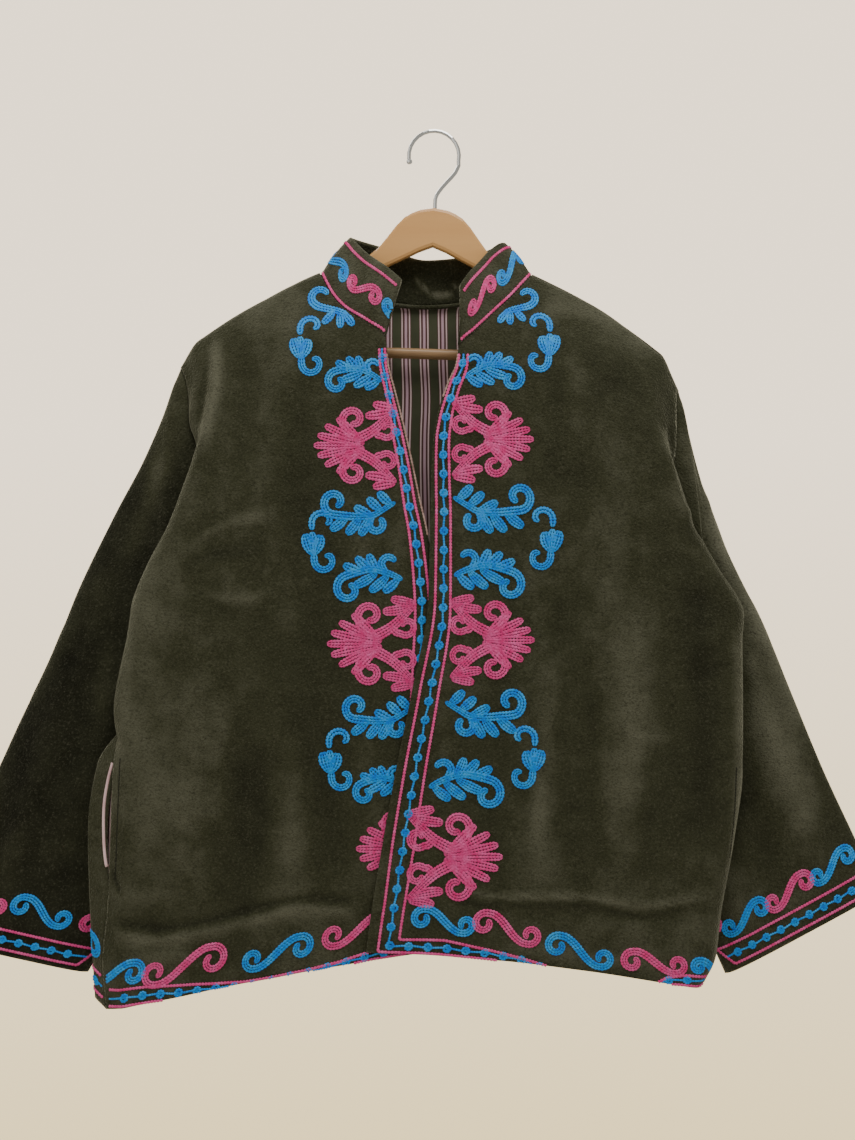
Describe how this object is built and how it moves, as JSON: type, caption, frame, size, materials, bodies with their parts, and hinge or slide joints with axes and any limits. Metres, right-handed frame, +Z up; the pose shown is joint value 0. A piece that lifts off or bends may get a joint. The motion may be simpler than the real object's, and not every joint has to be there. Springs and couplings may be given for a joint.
{
  "type": "suzani jacket on a clothes hanger",
  "caption": "Open-fronted velvet jacket with a stand collar, wide sleeves, striped lining and side pockets, hanging on a wooden clothes hanger.",
  "frame": {"origin": "the point at the top inside the hanger's hook, where it bears on a rail or wall hook", "axes": "+Z up, +X to the viewer's right (the wearer's left), -Y out of the front of the jacket"},
  "size_m": [1.001, 0.0769, 0.899],
  "materials": {
    "velvet": "short-pile cotton velvet with a soft sheen",
    "lining": "matt cotton lining",
    "satin": "smooth satin",
    "hanger_wood": "satin lacquer",
    "bar_wood": "ribbed, lacquered",
    "chrome": "polished"
  },
  "bodies": {
    "root": {"back": "velvet", "front_right": "velvet", "front_left": "velvet", "sleeve_right_front": "velvet", "sleeve_right_back": "velvet", "sleeve_left_front": "velvet", "sleeve_left_back": "velvet", "collar": "velvet", "neck_binding": "velvet", "back_lining": "lining", "front_right_lining": "lining", "front_left_lining": "lining", "pocket_right": "satin", "pocket_left": "satin", "hanger_yoke": "hanger_wood", "hanger_bar": "bar_wood", "hanger_hook": "chrome"}
  },
  "joints": []
}
